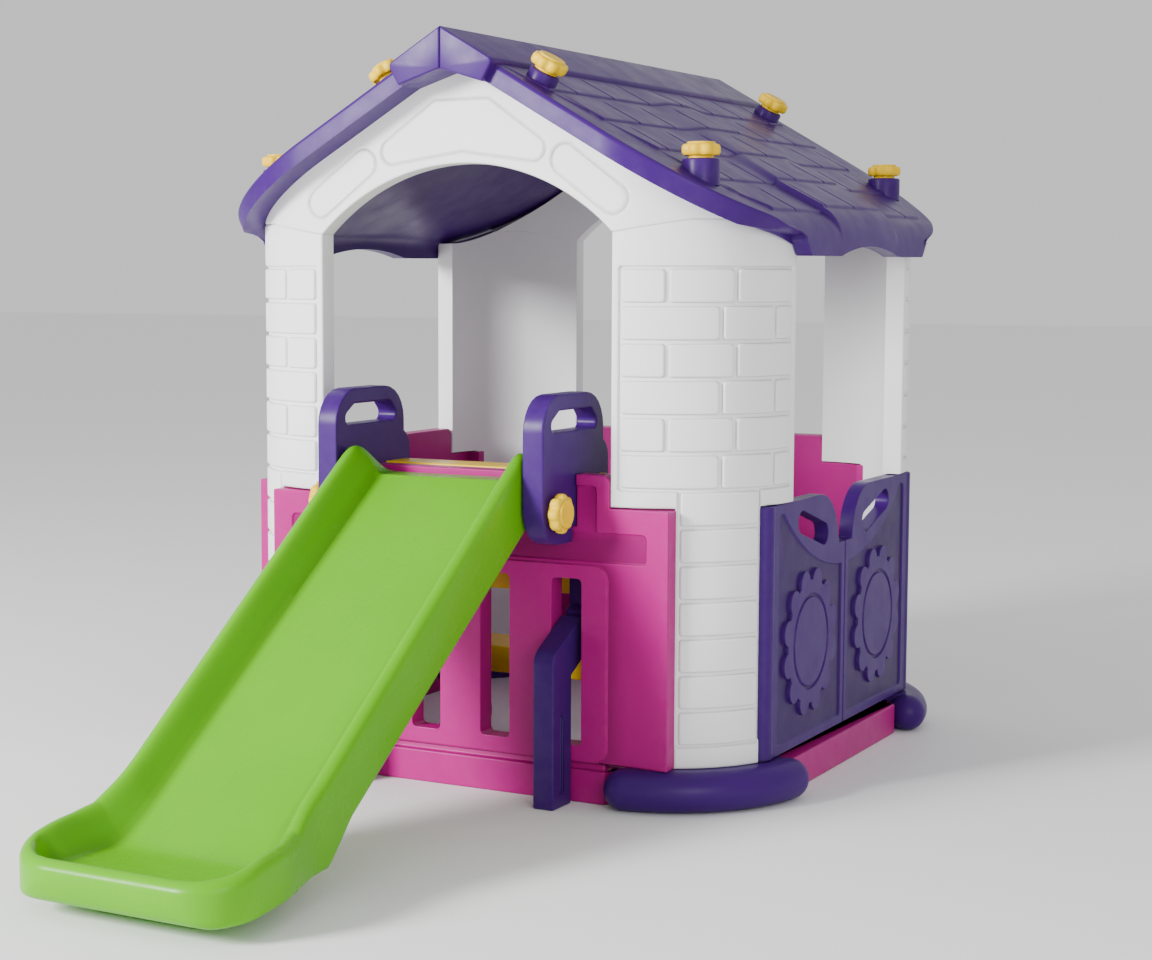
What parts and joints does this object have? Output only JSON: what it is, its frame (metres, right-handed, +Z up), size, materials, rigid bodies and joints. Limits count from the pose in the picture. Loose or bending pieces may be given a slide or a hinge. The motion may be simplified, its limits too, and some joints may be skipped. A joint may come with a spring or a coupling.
{
  "type": "playhouse with slide",
  "caption": "Plastic garden playhouse with brick-pattern corner posts, pitched roof, swinging half doors, an inside ladder and an outside slide.",
  "frame": {"origin": "on the ground under the middle of the whole object, slide included", "axes": "+X towards the doors, -Y towards the slide, +Z up"},
  "size_m": [1.0874, 2.0122, 1.2579],
  "materials": {
    "purple": "satin moulded",
    "pink": "satin moulded",
    "white": "satin moulded",
    "green": "satin moulded",
    "yellow": "satin moulded",
    "grey": "plain moulded"
  },
  "bodies": {
    "house": {"base_front_rail": "pink", "base_back_rail": "pink", "base_left_rail": "pink", "base_door_sill": "pink", "corner_foot_front_right": "purple", "corner_foot_front_left": "purple", "corner_foot_back_right": "purple", "corner_foot_back_left": "purple", "post_front_right": "white", "post_front_left": "white", "post_back_right": "white", "post_back_left": "white", "wall_front": "pink", "wall_back": "pink", "wall_left": "pink", "hinge_pins": "grey", "gable_front": "white", "gable_back": "white", "roof_right": "purple", "roof_left": "purple", "ladder_frame_right": "purple", "ladder_frame_left": "purple", "tread_top": "yellow", "tread_middle": "yellow", "tread_low": "yellow", "slide": "green"},
    "door_front": {"door_leaf_front": "purple"},
    "door_back": {"door_leaf_back": "purple"},
    "roof_knob_upper_front_right": {"roof_knob_upper_front_right": "yellow"},
    "roof_knob_upper_front_left": {"roof_knob_upper_front_left": "yellow"},
    "roof_knob_upper_back_right": {"roof_knob_upper_back_right": "yellow"},
    "roof_knob_upper_back_left": {"roof_knob_upper_back_left": "yellow"},
    "roof_knob_lower_front_right": {"roof_knob_lower_front_right": "yellow"},
    "roof_knob_lower_front_left": {"roof_knob_lower_front_left": "yellow"},
    "roof_knob_lower_back_right": {"roof_knob_lower_back_right": "yellow"},
    "roof_knob_lower_back_left": {"roof_knob_lower_back_left": "yellow"},
    "slide_knob_right": {"slide_knob_right": "yellow"},
    "slide_knob_left": {"slide_knob_left": "yellow"},
    "tread_knob_right": {"tread_knob_right": "yellow"},
    "tread_knob_left": {"tread_knob_left": "yellow"}
  },
  "joints": [
    {"name": "door_front_swing", "type": "hinge", "parent": "house", "child": "door_front", "pos_m": [0.474, 0.09001, 0.278], "axis": [0, 0, -1], "range_deg": [0, 90]},
    {"name": "door_back_swing", "type": "hinge", "parent": "house", "child": "door_back", "pos_m": [0.474, 0.77817, 0.278], "axis": [0, 0, 1], "range_deg": [0, 90]},
    {"name": "roof_knob_upper_front_right_turn", "type": "hinge", "parent": "house", "child": "roof_knob_upper_front_right", "pos_m": [0.14653, -0.04841, 1.18598], "axis": [0.5017, 0, 0.865], "continuous": true},
    {"name": "roof_knob_upper_front_left_turn", "type": "hinge", "parent": "house", "child": "roof_knob_upper_front_left", "pos_m": [-0.14653, -0.04841, 1.18598], "axis": [-0.5017, 0, 0.865], "continuous": true},
    {"name": "roof_knob_upper_back_right_turn", "type": "hinge", "parent": "house", "child": "roof_knob_upper_back_right", "pos_m": [0.14653, 0.91659, 1.18598], "axis": [0.5017, 0, 0.865], "continuous": true},
    {"name": "roof_knob_upper_back_left_turn", "type": "hinge", "parent": "house", "child": "roof_knob_upper_back_left", "pos_m": [-0.14653, 0.91659, 1.18598], "axis": [-0.5017, 0, 0.865], "continuous": true},
    {"name": "roof_knob_lower_front_right_turn", "type": "hinge", "parent": "house", "child": "roof_knob_lower_front_right", "pos_m": [0.40056, -0.00567, 1.04268], "axis": [0, 0, 1], "continuous": true},
    {"name": "roof_knob_lower_front_left_turn", "type": "hinge", "parent": "house", "child": "roof_knob_lower_front_left", "pos_m": [-0.40056, -0.00567, 1.04268], "axis": [0, 0, 1], "continuous": true},
    {"name": "roof_knob_lower_back_right_turn", "type": "hinge", "parent": "house", "child": "roof_knob_lower_back_right", "pos_m": [0.40056, 0.87385, 1.04268], "axis": [0, 0, 1], "continuous": true},
    {"name": "roof_knob_lower_back_left_turn", "type": "hinge", "parent": "house", "child": "roof_knob_lower_back_left", "pos_m": [-0.40056, 0.87385, 1.04268], "axis": [0, 0, 1], "continuous": true},
    {"name": "slide_knob_right_turn", "type": "hinge", "parent": "house", "child": "slide_knob_right", "pos_m": [0.212, -0.14391, 0.484], "axis": [1, 0, 0], "continuous": true},
    {"name": "slide_knob_left_turn", "type": "hinge", "parent": "house", "child": "slide_knob_left", "pos_m": [-0.212, -0.14391, 0.484], "axis": [-1, 0, 0], "continuous": true},
    {"name": "tread_knob_right_turn", "type": "hinge", "parent": "house", "child": "tread_knob_right", "pos_m": [0.212, 0.00609, 0.505], "axis": [1, 0, 0], "continuous": true},
    {"name": "tread_knob_left_turn", "type": "hinge", "parent": "house", "child": "tread_knob_left", "pos_m": [-0.212, 0.00609, 0.505], "axis": [-1, 0, 0], "continuous": true}
  ]
}
